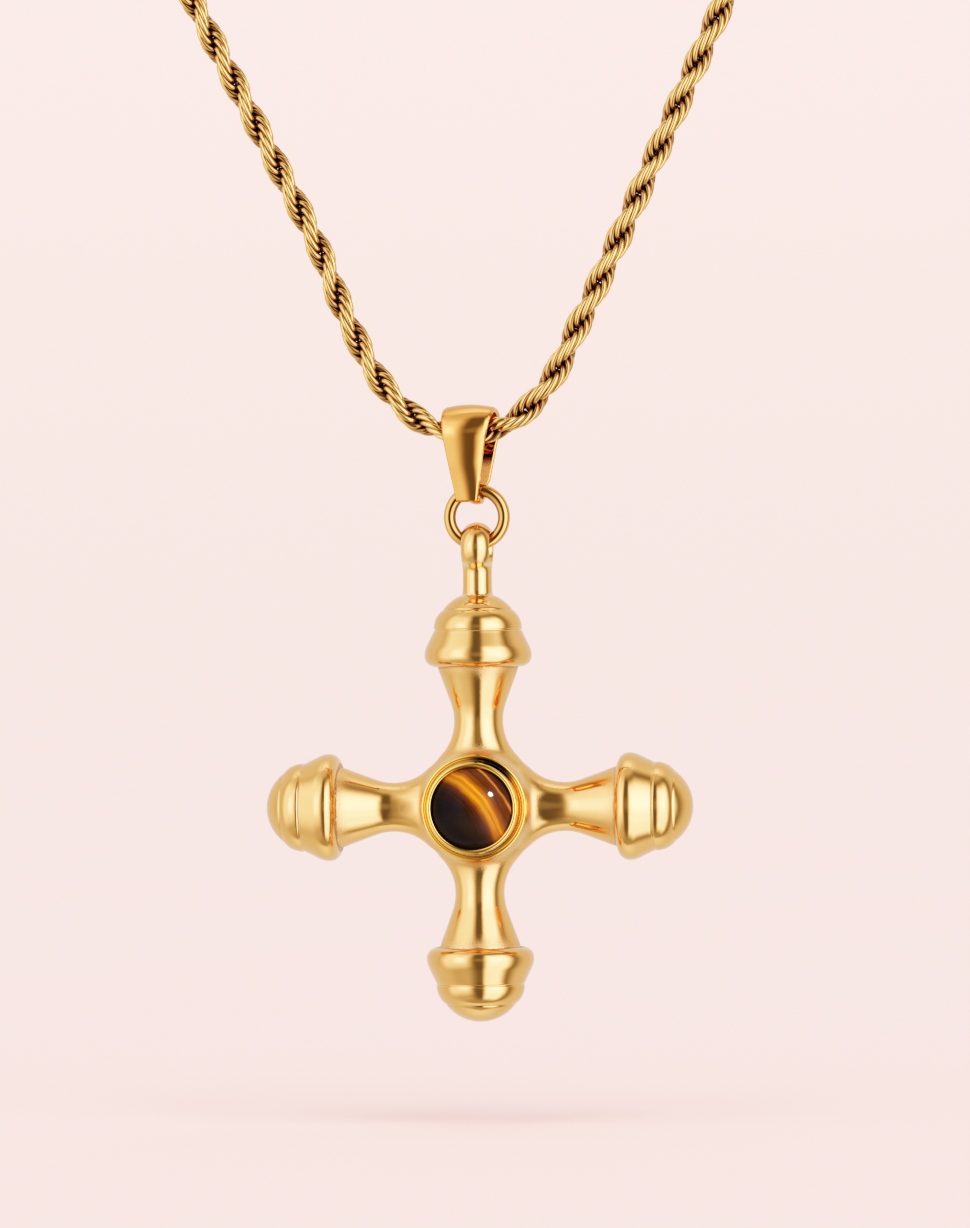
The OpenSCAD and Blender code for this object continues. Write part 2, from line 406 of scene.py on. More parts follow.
class Nodes:
    """Short way to build the nodes of a material or a world."""

    def __init__(self, tree: bpy.types.NodeTree) -> None:
        """Takes over a tree."""
        self.tree = tree

    @property
    def shader(self) -> bpy.types.Node:
        """Shader of a material's tree."""
        return self.tree.nodes["Principled BSDF"]

    def feed(self, socket: Socket, value: Value) -> None:
        """Gives an input a fixed value, or links another node's output to it.

        Args:
            socket: Input.
            value: Output, number, vector or colour with its alpha.
        """
        if isinstance(value, bpy.types.NodeSocket):
            self.tree.links.new(value, socket)
        else:
            socket.default_value = value

    def add(self, kind: str, inputs: dict[str | int, Value] | None = None,
            **settings: str | bool) -> bpy.types.Node:
        """Adds one node.

        Args:
            kind: Blender's name of the node type, without ShaderNode.
            inputs: What its inputs get, by their name or number.
            **settings: Node properties to set.

        Returns:
            The node.
        """
        node = self.tree.nodes.new(f"ShaderNode{kind}")
        for key, value in settings.items():
            setattr(node, key, value)
        for key, value in (inputs or {}).items():
            self.feed(node.inputs[key], value)
        return node

    def place(self) -> Socket:
        """Object coordinates in millimetres."""
        coords = self.add("TexCoord").outputs["Object"]
        return self.add("Mapping", {"Vector": coords, "Scale": (1 / MM,) * 3}).outputs["Vector"]

    def split(self, vector: Socket) -> list[Socket]:
        """X, Y and Z of a vector."""
        return list(self.add("SeparateXYZ", {"Vector": vector}).outputs)

    def noise(self, scale: float, detail: float, rough: float = 0.5) -> Socket:
        """Noise with features of a given size.

        Args:
            scale: Features per millimetre.
            detail: Noise detail.
            rough: Noise roughness.

        Returns:
            The factor.
        """
        inputs = {"Vector": self.place(), "Scale": scale, "Detail": detail, "Roughness": rough}
        return self.add("TexNoise", inputs).outputs["Fac"]

    def math(self, kind: str, *values: Value, clamp: bool = False) -> Socket:
        """One sum on outputs or numbers.

        Args:
            kind: Operation.
            *values: What it works on.
            clamp: Whether to keep the result from 0 to 1.

        Returns:
            The result.
        """
        return self.add("Math", dict(enumerate(values)), operation=kind, use_clamp=clamp).outputs[0]

    def fold(self, kind: str, *values: Value) -> Socket:
        """One kind of sum over any number of outputs or numbers."""
        return functools.reduce(functools.partial(self.math, kind), values)

    def fade(self, value: Socket, full: float, none: float) -> Socket:
        """Smooth step.

        Args:
            value: Output to look at.
            full: Value that gives 1.
            none: Value that gives 0.

        Returns:
            The step.
        """
        inputs = {"Value": value, "From Min": none, "From Max": full}
        return self.add("MapRange", inputs, interpolation_type="SMOOTHSTEP").outputs[0]

    def read(self, name: str) -> Socket:
        """Number that is painted on the vertices."""
        return self.add("Attribute", attribute_name=name).outputs["Fac"]

    def ramp(self, factor: Socket, stops: tuple) -> Socket:
        """Colour ramp.

        Args:
            factor: Output that drives the ramp.
            stops: Pairs of position and colour.

        Returns:
            The colour.
        """
        node = self.add("ValToRGB", {"Fac": factor})
        elements = node.color_ramp.elements
        while len(elements) < len(stops):
            elements.new(0.5)
        for element, (position, colour) in zip(elements, stops):
            element.position = position
            element.color = (*colour, 1)
        return node.outputs["Color"]

    def blend(self, factor: Socket, a: Socket | tuple, b: Socket | tuple, kind: str = "MIX") -> Socket:
        """Mix of two colours.

        Args:
            factor: Output from 0 to 1.
            a: Colour at 0.
            b: Colour at 1.
            kind: Way of mixing.

        Returns:
            The mixed colour.
        """
        a, b = ((*value, 1) if isinstance(value, tuple) else value for value in (a, b))
        # The colours of a Mix node are its inputs 6 and 7, and its output 2
        inputs = {"Factor": factor, 6: a, 7: b}
        return self.add("Mix", inputs, data_type="RGBA", blend_type=kind).outputs[2]

    def bump(self, height: Socket, depth: float) -> None:
        """Turns a height into relief on the shader.

        Args:
            height: Output from 0 to 1.
            depth: Depth of the relief in millimetres.
        """
        inputs = {"Strength": 1.0, "Distance": depth * MM, "Height": height}
        self.feed(self.shader.inputs["Normal"], self.add("Bump", inputs).outputs["Normal"])


class Finish:
    """Finish whose material is made once and shared by its pieces."""

    made: ClassVar[dict[str, bpy.types.Material]] = {}
    name: str

    def fill(self, n: Nodes) -> None:
        """Builds the finish's nodes."""
        raise NotImplementedError

    def put_on(self, piece: bpy.types.Object) -> None:
        """Gives a piece the finish.

        Args:
            piece: Object to dress.
        """
        if self.name not in self.made:
            material = bpy.data.materials.new(self.name)
            material.use_nodes = True
            self.fill(Nodes(material.node_tree))
            self.made[self.name] = material
        piece.data.materials.clear()
        piece.data.materials.append(self.made[self.name])


@dataclass(frozen=True)
class Gold(Finish):
    """Polished gold plate, with a fine grain, and painted shade, painted light and a matt inner tone
    where they are painted on.
    """

    name: str
    colour: tuple
    # Colour of the painted shade
    deep: tuple
    polish: float
    grain_depth: float = 0.03
    # Colour of the painted light, and the matt inner tone that stands in for the light inside the bail's
    # fold
    pale: tuple = (1.0, 0.7, 0.34)
    inside: tuple = (0.8, 0.43, 0.11)
    inside_matt: float = 0.8
    shade: float = 0.94
    shade_stops: tuple = (0.3, 0.7)
    clouds: tuple = (0.35, 3)
    speckle: tuple = (7.0, 4, 0.7)
    waves: tuple = (0.9, 2)
    wave_share: float = 0.1
    smears: tuple = (1.6, 4)
    rough_grain: float = 0.26
    rough_smears: float = 0.035
    rough_inside: float = 0.25

    def fill(self, n: Nodes) -> None:
        """Builds the finish's nodes.

        Args:
            n: Nodes to add to.
        """
        grain, inside = n.read("grain"), n.read("inside")
        shaded = tuple(self.shade * c for c in self.colour)
        stops = tuple(zip(self.shade_stops, (shaded, self.colour)))
        tone = n.ramp(n.noise(*self.clouds), stops)
        # Painted light, the matt inner tone and painted shade, each laid over the gold where its mask is
        # painted
        tone = n.blend(n.read("pale"), tone, self.pale)
        tone = n.blend(inside, tone, self.inside)
        tone = n.blend(n.read("crease"), tone, self.deep)
        metal = n.math("SUBTRACT", 1.0, n.math("MULTIPLY", inside, self.inside_matt))
        rough = n.fold("ADD", n.math("MULTIPLY", grain, self.rough_grain), self.polish,
                       n.math("MULTIPLY", n.noise(*self.smears), self.rough_smears),
                       n.math("MULTIPLY", inside, self.rough_inside))
        for socket, value in (("Base Color", tone), ("Metallic", metal), ("Roughness", rough)):
            n.feed(n.shader.inputs[socket], value)
        speckle = n.math("MULTIPLY", grain, n.noise(*self.speckle))
        waves = n.math("MULTIPLY", n.noise(*self.waves), self.wave_share)
        n.bump(n.math("ADD", speckle, waves), self.grain_depth)


class StoneTone(Enum):
    """Colours of the stone's bands, from its dark ground to its silk; the brightest are partly the
    stone's own colour and partly painted silky sheen.
    """

    BLACK = (0.004, 0.002, 0.001)
    UMBER = (0.008, 0.0028, 0.001)
    BROWN = (0.015, 0.0045, 0.001)
    RUSSET = (0.029, 0.0078, 0.001)
    AMBER = (0.06, 0.0165, 0.0012)
    ORANGE = (0.13, 0.039, 0.0015)
    GOLD = (0.2, 0.068, 0.002)
    BRIGHT = (0.26, 0.076, 0.002)
    THREAD = (0.15, 0.05, 0.012)


@dataclass(frozen=True)
class BandedStone(Finish):
    """Polished golden-brown stone with curved silky bands, partly its own colour and partly painted
    silky sheen, and a faint painted sheen on its lower part.
    """

    name: str = "banded_stone"
    centre: tuple = (-5.02, -4.06)
    first_r: float = 3.35
    width: float = 8.0
    # Tones across the bands; the bright golden ones are partly the stone's own colour and partly painted
    # silky sheen
    bands: tuple = (
        (0.0, StoneTone.BLACK), (0.175, StoneTone.BLACK), (0.325, StoneTone.UMBER),
        (0.385, StoneTone.BROWN), (0.436, StoneTone.RUSSET), (0.465, StoneTone.AMBER),
        (0.489, StoneTone.ORANGE), (0.514, StoneTone.GOLD), (0.538, StoneTone.GOLD),
        (0.559, StoneTone.ORANGE), (0.585, StoneTone.BRIGHT), (0.607, StoneTone.ORANGE),
        (0.645, StoneTone.AMBER), (0.69, StoneTone.RUSSET), (0.755, StoneTone.RUSSET),
        (0.775, StoneTone.THREAD), (0.79, StoneTone.RUSSET), (0.81, StoneTone.BROWN),
        (0.85, StoneTone.UMBER), (1.0, StoneTone.BLACK),
    )
    wander: tuple = (0.35, 2)
    wander_reach: float = 0.5
    silk_across: float = 5.0
    silk_along: float = 3.0
    silk: float = 1.1
    # Painted sheen added on the stone's lower part: its colour, the height below which it starts, and
    # the distance over which it comes in fully
    painted_low_sheen: tuple = (0.0085, 0.0055, 0.0035)
    veil_top: float = -0.1
    veil_fade: float = 1.5
    polish: float = 0.09
    gloss: float = 0.06

    def fill(self, n: Nodes) -> None:
        """Builds the finish's nodes.

        Args:
            n: Nodes to add to.
        """
        off = (-self.centre[0], 0, -CROSS_AT[2] - self.centre[1])
        x, _, z = n.split(n.add("Mapping", {"Vector": n.place(), "Location": off}).outputs["Vector"])
        flat = n.math("SQRT", n.math("ADD", n.math("POWER", x, 2), n.math("POWER", z, 2)))
        wander = n.math("SUBTRACT", n.noise(*self.wander), 0.5)
        radius = n.math("ADD", flat, n.math("MULTIPLY", wander, self.wander_reach))
        band = n.math("DIVIDE", n.math("SUBTRACT", radius, self.first_r), self.width, clamp=True)
        tone = n.ramp(band, tuple((at, stripe.value) for at, stripe in self.bands))
        # Fine threads that brighten and darken the bands, partly the stone's fibres and partly painted
        # silky sheen
        across = n.math("MULTIPLY", radius, self.silk_across)
        along = n.math("MULTIPLY", n.math("ARCTAN2", z, x), self.silk_along)
        lane = n.add("CombineXYZ", {"X": across, "Y": along}).outputs["Vector"]
        threads = n.add("TexNoise", {"Vector": lane, "Scale": 1.0, "Detail": 3.0}, noise_dimensions="2D")
        silk = n.math("MULTIPLY", n.math("SUBTRACT", threads.outputs["Fac"], 0.5), self.silk)
        lit = n.add("HueSaturation", {"Value": n.math("ADD", 1.0, silk), "Color": tone})
        # Painted sheen on the lower part of the stone
        low = n.math("SUBTRACT", self.veil_top - self.centre[1], z)
        low = n.math("DIVIDE", low, self.veil_fade, clamp=True)
        colour = n.blend(low, lit.outputs["Color"], self.painted_low_sheen, "ADD")
        n.feed(n.shader.inputs["Base Color"], colour)
        n.feed(n.shader.inputs["Roughness"], self.polish)
        n.feed(n.shader.inputs["Specular IOR Level"], self.gloss)


@dataclass(frozen=True)
class PaleFloor(Finish):
    """Plain pale studio floor."""

    name: str = "pale_floor"
    clouds: tuple = (0.01, 2)
    stops: tuple = ((0.3, (0.892, 0.574, 0.48)), (0.7, (0.902, 0.584, 0.49)))

    def fill(self, n: Nodes) -> None:
        """Builds the finish's nodes.

        Args:
            n: Nodes to add to.
        """
        n.feed(n.shader.inputs["Base Color"], n.ramp(n.noise(*self.clouds), self.stops))
        n.feed(n.shader.inputs["Roughness"], 1.0)
        n.feed(n.shader.inputs["Specular IOR Level"], 0.0)


# Gold finishes: name, colour, colour of the painted shade, polish and, for the ring, grain depth
CROSS_GOLD = Gold("cross_gold", (1.0, 0.53, 0.165), (0.09, 0.04, 0.012), 0.08)
BRIGHT_GOLD = Gold("bezel_gold", (1.0, 0.6, 0.13), (0.07, 0.025, 0.006), 0.07)
RING_GOLD = Gold("ring_gold", (0.9, 0.46, 0.115), (0.2, 0.075, 0.015), 0.03, 0.01)
WARM_GOLD = Gold("bail_gold", (1.0, 0.45, 0.11), (0.5, 0.2, 0.05), 0.045)
CHAIN_GOLD = Gold("chain_gold", (1.0, 0.59, 0.17), (0.15, 0.028, 0.002), 0.05)


# Sub-assemblies


@dataclass
class Part:
    """Sub-assembly whose pieces ride on one body, each with one material."""

    body: ClassVar[str]
    slot: ClassVar[str]
    pieces: list = field(default_factory=list, init=False)

    def build(self) -> None:
        """Builds and dresses the pieces."""
        raise NotImplementedError

    def dress(self, name: str, surface: Surface, finish: Finish, node: str,
              at: tuple = (0, 0, 0), **masks: Array | list) -> None:
        """Makes a piece of a surface, dresses it and puts it in place of a solid.

        Args:
            name: Piece's name.
            surface: Vertices in millimetres, and faces.
            finish: Finish to put on.
            node: Solid that the piece stands for.
            at: Place of the surface's origin, in millimetres.
            **masks: Numbers per vertex for the finish to read.
        """
        piece = make_object(name, surface, at)
        for mask, values in masks.items():
            paint(piece, mask, values)
        finish.put_on(piece)
        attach(piece, self.body)
        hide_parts(node)
        self.pieces.append(piece)


@dataclass
class Cross(Part):
    """Turned cross with its boss, bezel and eye."""

    body: ClassVar[str] = "pendant"
    slot: ClassVar[str] = "cross"

    arm_reach: float = 20.4
    waist_r: float = 2.33
    waist_at: float = 8.2
    waist_curve: float = 4.8
    flare_deg: float = 20.0
    hub_half: float = 4.1
    hub_blend: float = 0.5
    flatten: float = 0.8
    arm_blend: float = 0.5
    arm_in_knob: float = 0.25

    knob_r: float = 5.1
    knob_from: float = 13.3
    under_r: tuple = (1.5, 3.0, 3.4, 3.7)
    under_depth: float = 0.3
    rim_curve: float = 1.05
    crown_curve: float = 2.2
    shoulder_deg: float = 26.0
    crease_at: float = 16.8
    tier_r: float = 4.2
    tier_curve: float = 2.2
    tier_rise: float = 0.15
    tier_gap_deg: float = 2.4
    dome_curve: float = 4.1
    dome_gap_deg: float = 2.0
    groove: float = 0.06
    knob_sides: int = 160

    boss_r: float = 5.03
    boss_shelf: float = 3.92
    boss_rim: float = 0.24
    boss_edge: float = 0.15
    boss_back: float = 4.6
    back_curve: float = 6.2
    back_blend: float = 0.3
    boss_blend: float = 0.8
    seat_r: float = 4.05
    seat_at: float = 3.8
    lip_r: float = 4.08
    lip_curve: float = 0.27
    lip_at: float = 5.45
    bezel_sides: int = 192

    eye_at: float = EYE_AT
    eye_hole_r: float = 1.05
    eye_bar: float = 1.38
    eye_half_w: float = 1.48
    eye_outer: float = 1.6
    eye_inner: float = 2.025
    eye_edge: float = 0.12
    eye_flat: float = 0.1
    post_r: float = 1.38
    post_in_knob: float = 0.45
    post_blend: float = 0.3
    foot_flare: float = 0.3
    foot_reach: float = 0.22

    body_box: tuple = (13.9, 5.2, 13.9)
    body_step: float = 0.22
    eye_step: float = 0.11

    # Grain, painted shade and painted light, as strength and reach
    rim_grain: tuple = (1.0, 0.9)
    boss_grain: tuple = (1.0, 0.7)
    rim_painted_shade: tuple = (0.35, 0.12)
    rim_painted_light: tuple = (0.25, 0.35)
    crease_pale: tuple = (0.9, 0.07)
    fillet_painted_light: tuple = (0.7, 0.28)
    foot_painted_light: tuple = (1.0, 0.5)
    seam_painted_light: tuple = (1.0, 0.26)
    shelf_painted_light: float = 0.6
    # Where they lie: from a radius out, down from an arm's end, and down from the eye's middle; and the
    # angle and half width of the painted dark reflection in the bezel's groove
    crease_out: float = 3.6
    foot_down: float = 1.2
    low_seam_down: float = 0.4
    high_seam_down: float = 1.6
    crescent_deg: float = 66.0
    crescent_half: float = 27.0

    def neck_radius(self, s: Array) -> Array:
        """Radius of an arm's neck at a distance from the centre.

        Args:
            s: Distances from the centre.

        Returns:
            The radii.
        """
        flare = math.radians(self.flare_deg)
        flare_at = self.waist_at + self.waist_curve * math.sin(flare)
        flare_r = self.waist_r + self.waist_curve * (1 - math.cos(flare))
        off = np.clip(s - self.waist_at, -0.95 * self.waist_curve, flare_at - self.waist_at)
        hollow = self.waist_r + self.waist_curve - np.sqrt(self.waist_curve**2 - off**2)
        cone = flare_r + (s - flare_at) * math.tan(flare)
        neck = np.where(s > flare_at, cone, hollow)
        return soft_min(neck, np.full_like(s, self.hub_half), self.hub_blend)

    def arm_distance(self, along: Array, across: Array, depth: Array) -> Array:
        """Distance to a pair of opposite arms, whose necks run flatter into the boss in front.

        Args:
            along: Coordinate along the arms.
            across: Coordinate across the arms, in the plane of the cross.
            depth: Coordinate from front to back.

        Returns:
            The signed distance.
        """
        s = np.abs(along)
        out = np.hypot(across, depth)
        radius = self.neck_radius(s)
        near = 0.05
        slope = (self.neck_radius(s + near) - self.neck_radius(s - near)) / (2 * near)
        front = np.maximum(-depth, 0) / np.maximum(out, 0.1)
        extra = np.where(s < self.waist_at, radius - self.waist_r, 0)
        side = (out - radius + self.flatten * front**2 * extra) / np.sqrt(1 + slope**2)
        return np.maximum(side, s - self.knob_from - self.arm_in_knob)

    def body_distance(self, points: Array) -> Array:
        """Distance to the middle body: four necks and the boss, without the knobs.

        Args:
            points: Points about the cross's centre.

        Returns:
            The signed distances.
        """
        x, y, z = points.T
        arms = soft_min(self.arm_distance(z, x, y), self.arm_distance(x, z, y), self.arm_blend)
        out = np.hypot(x, z)
        ball = np.hypot(out, y - self.boss_back + self.back_curve) - self.back_curve
        wall = soft_max(out - self.boss_r, -y - self.boss_shelf, self.boss_edge)
        body = soft_min(arms, soft_max(wall, ball, self.back_blend), self.boss_blend)
        pocket = np.maximum(out - self.seat_r, y + self.seat_at)
        return np.maximum(body, -pocket)

    def eye_distance(self, points: Array) -> Array:
        """Distance to the eye with its hole along X, and to its post.

        Args:
            points: Points about the cross's centre.

        Returns:
            The signed distances.
        """
        x, y, z = points.T
        reach = np.hypot(y, z - self.eye_at)
        outer = np.hypot(reach - self.eye_hole_r - self.eye_bar + self.eye_outer, x) - self.eye_outer
        inner = np.hypot(reach - self.eye_hole_r - self.eye_inner, x) - self.eye_inner
        eye = soft_max(outer, inner, self.eye_edge)
        eye = soft_max(eye, np.abs(x) - self.eye_half_w, self.eye_flat)
        foot = self.arm_reach - self.post_in_knob
        head = self.eye_at - self.eye_hole_r - self.eye_bar / 2
        flare = self.foot_flare * np.exp(-(z - foot) / self.foot_reach)
        post = np.maximum(np.hypot(x, y) - self.post_r - flare, np.maximum(foot - z, z - head))
        return soft_min(eye, post, self.post_blend)

    def tier_end(self) -> tuple[float, float]:
        """Where a knob's tier runs into its dome.

        Returns:
            The angles of that place on the tier's and on the dome's arc, in degrees.
        """
        angles = np.radians(np.linspace(0, 80, 801))
        out = self.tier_r - self.tier_curve + self.tier_curve * np.cos(angles)
        up = self.crease_at + self.tier_rise + self.tier_curve * np.sin(angles)
        up -= self.arm_reach - self.dome_curve
        meet = int(np.argmax(np.hypot(out, up) < self.dome_curve))
        return math.degrees(angles[meet]), math.degrees(math.atan2(up[meet], out[meet]))

    def knob(self) -> Surface:
        """One knob, turned along +Z.

        Returns:
            The vertices and faces.
        """
        widest = self.knob_from + self.rim_curve
        lean = math.radians(self.shoulder_deg)
        shoulder = (self.knob_r - self.crown_curve * (1 - math.cos(lean)),
                    widest + self.crown_curve * math.sin(lean))
        crease_r = shoulder[0] - (self.crease_at - shoulder[1]) * math.tan(lean)
        tier = (self.tier_r - self.tier_curve, self.crease_at + self.tier_rise)
        dome_at = self.arm_reach - self.dome_curve
        last, start = self.tier_end()
        turn_r, turn_z = math.cos(math.radians(last)), math.sin(math.radians(last))
        seam_r, seam_z = tier[0] + self.tier_curve * turn_r, tier[1] + self.tier_curve * turn_z
        cut = self.groove

        # Flat underside, then the rim and the crown
        outline = [(self.under_r[0], self.knob_from + self.under_depth)]
        outline += [(r, self.knob_from) for r in self.under_r]
        outline += arc((self.knob_r - self.rim_curve, widest), self.rim_curve, -90, 0, 12)
        outline += arc((self.knob_r - self.crown_curve, widest), self.crown_curve, 3,
                       self.shoulder_deg, 8)
        # Straight shoulder down to the crease
        for t in np.linspace(0.12, 0.9, 6):
            outline.append((shoulder[0] + (crease_r - shoulder[0]) * t,
                            shoulder[1] + (self.crease_at - shoulder[1]) * t))
        # Groove of the crease
        outline += [(crease_r + 0.04, self.crease_at - cut),
                    (crease_r - 0.02, self.crease_at - 0.5 * cut),
                    (crease_r - cut, self.crease_at - 0.1 * cut),
                    (crease_r - cut, self.crease_at + 0.3 * cut),
                    (self.tier_r - 0.05, self.crease_at + 0.6 * cut)]
        # Tier, its seam and the dome
        outline += arc(tier, self.tier_curve, 0, last - self.tier_gap_deg, 16)
        outline += [(seam_r + 0.01, seam_z - 0.5 * cut), (seam_r - cut * turn_r, seam_z - cut * turn_z),
                    (seam_r - 0.06, seam_z + 0.3 * cut)]
        outline += arc((0, dome_at), self.dome_curve, start + self.dome_gap_deg, 89, 26)
        outline.append((0.0, self.arm_reach))
        return turned(outline, self.knob_sides, Along.Z)

    def eye(self) -> Surface:
        """Eye and post as one skin.

        Returns:
            The vertices and faces.
        """
        low = (-1.9, -2.6, self.arm_reach - 0.6)
        high = (1.9, 2.6, self.eye_at + self.eye_hole_r + self.eye_bar + 0.2)
        return skin(self.eye_distance, low, high, self.eye_step)

    def bezel(self) -> Surface:
        """Bezel and the boss's raised rim, turned along -Y.

        Returns:
            The vertices and faces.
        """
        wall, bore = self.lip_r + self.lip_curve, self.lip_r - self.lip_curve
        outline = [(wall + 0.14, self.boss_shelf - 0.1), (wall + 0.12, self.boss_shelf + 0.05),
                   (wall + 0.06, self.boss_shelf + 0.4), (wall + 0.01, self.lip_at - 0.3)]
        outline += arc((self.lip_r, self.lip_at), self.lip_curve, 0, 180, 14)
        outline += [(bore, self.lip_at - 0.2), (bore + 0.02, self.boss_shelf - 0.1)]
        rim = circle((self.boss_r - self.boss_rim, self.boss_shelf), self.boss_rim, 16)
        rings = [turned(points, self.bezel_sides, Along.Y, closed=True) for points in (outline, rim)]
        return facing_front(join(rings))

    def tones(self, verts: Array) -> dict[str, Array]:
        """Grain, painted shade and painted light for the body and knobs.

        Args:
            verts: Vertices about the cross's centre.

        Returns:
            The masks by name.
        """
        x, y, z = verts.T
        s = np.maximum(np.abs(x), np.abs(z))
        out, across = np.hypot(x, z), np.hypot(np.minimum(np.abs(x), np.abs(z)), y)
        neck = s < self.knob_from + 0.01
        boss_foot = self.boss_r + 0.12
        grain = np.maximum(swell(s, self.knob_from, *self.rim_grain),
                           swell(out, self.boss_r + 0.2, *self.boss_grain))
        shelf = (out < self.boss_r - 0.1) & (y < 0.3 - self.boss_shelf)
        at_foot = z > self.arm_reach - self.foot_down
        # Painted light: paler gold in the boss's shelf, under the knobs' rims, in the fillets round the
        # boss and at the post's foot, in place of the orange of gold-on-gold reflections, and a painted
        # highlight along the knobs' creases
        pale = np.maximum.reduce([
            self.shelf_painted_light * shelf,
            swell(s, self.knob_from, *self.rim_painted_light) * (s < self.knob_from + 0.3),
            swell(s, self.crease_at, *self.crease_pale) * (across > self.crease_out),
            swell(out, boss_foot, *self.fillet_painted_light) * (neck & (y < 0)),
            swell(np.hypot(x, y), self.post_r, *self.foot_painted_light, 4) * at_foot,
        ])
        # Painted shade on the necks just under the knobs' rims
        crease = swell(s, self.knob_from, *self.rim_painted_shade) * neck
        return {"grain": grain * neck, "crease": np.maximum(crease, self.painted_groove_reflection(verts)), "pale": pale}

    def painted_groove_reflection(self, verts: Array) -> Array:
        """Painted dark reflection in the groove round the bezel, at its upper right.

        Args:
            verts: Vertices about the cross's centre.

        Returns:
            Its strength from 0 to 1 at each vertex.
        """
        x, y, z = verts.T
        out = np.hypot(x, z)
        groove = (out > self.lip_r + self.lip_curve + 0.04) & (out < self.boss_r - 0.2)
        groove &= (y > 0.4 - self.lip_at) & (y < 0.6 - self.boss_shelf)
        turn = np.degrees(np.arctan2(z, x))
        return swell(turn, self.crescent_deg, 1.0, self.crescent_half, 4) * groove

    def build(self) -> None:
        """Builds and dresses the cross, the bezel and the eye."""
        low = tuple(-side for side in self.body_box)
        parts = [skin(self.body_distance, low, self.body_box, self.body_step)]
        verts, faces = self.knob()
        for turn in range(4):
            spin = np.array(Matrix.Rotation(math.radians(90 * turn), 3, "Y"))
            parts.append((verts @ spin.T, faces))
        body, bezel, eye = join(parts), self.bezel(), self.eye()
        height = eye[0][:, 2]
        # Painted light where the post meets the knob and where it meets the eye, in place of the orange
        # of gold-on-gold reflections
        painted_seam_light = [swell(height, self.arm_reach - self.low_seam_down, *self.seam_painted_light),
                 swell(height, self.eye_at - self.high_seam_down, *self.seam_painted_light)]
        self.dress("cross_body", body, CROSS_GOLD, "cross", CROSS_AT, **self.tones(body[0]))
        # The bezel carries the painted dark reflection in its groove
        self.dress("bezel", bezel, BRIGHT_GOLD, "cross", CROSS_AT, crease=self.painted_groove_reflection(bezel[0]))
        self.dress("cross_eye", eye, CROSS_GOLD, "cross", CROSS_AT, pale=np.maximum(*painted_seam_light))


@dataclass
class Stone(Part):
    """Domed stone in the bezel."""

    body: ClassVar[str] = "pendant"
    slot: ClassVar[str] = "stone"

    radius: float = 3.95
    front: float = 7.5
    curve: float = 4.5
    base: float = 3.9
    bevel: float = 0.1
    sides: int = 160

    def build(self) -> None:
        """Builds and dresses the stone."""
        edge = math.degrees(math.acos(self.radius / self.curve))
        outline = [(0.0, self.base), (self.radius - self.bevel, self.base),
                   (self.radius, self.base + self.bevel)]
        outline += arc((0, self.front - self.curve), self.curve, edge, 89, 48)
        outline.append((0.0, self.front))
        dome = facing_front(turned(outline, self.sides, Along.Y))
        self.dress("stone_dome", dome, BandedStone(), "stone", CROSS_AT)


@dataclass
class JumpRing(Part):
    """Round wire ring between the bail and the cross's eye, with a painted dark reflection along the
    front of its wire and painted shade along its inner side.
    """

    body: ClassVar[str] = "ring"
    slot: ClassVar[str] = "jump_ring"

    radius: float = RING_R
    wire: float = 0.575
    sides: int = 144
    wire_sides: int = 32
    # Painted dark reflection along the wire's front and painted shade along its inner side, as angle
    # round the wire, strength and reach
    painted_front_reflection: tuple = (268.0, 1.0, 17.0)
    inner_shade: tuple = (195.0, 0.85, 40.0)

    def build(self) -> None:
        """Builds and dresses the ring."""
        wire = circle((self.radius, 0), self.wire, self.wire_sides)
        turn = np.linspace(0, 360, self.wire_sides, endpoint=False)
        # Painted dark reflection and painted shade round the wire
        dark = np.maximum(swell(turn, *self.painted_front_reflection), swell(turn, *self.inner_shade))
        self.dress("jump_ring_wire", turned(wire, self.sides, Along.Y, closed=True), RING_GOLD,
                   "jump_ring", RING_AT, crease=np.repeat(dark, self.sides))


class Station(NamedTuple):
    """Place on the bail's strip: its middle, the way out of it, and its two edges."""

    y: float
    z: float
    out_y: float
    out_z: float
    left: float
    right: float


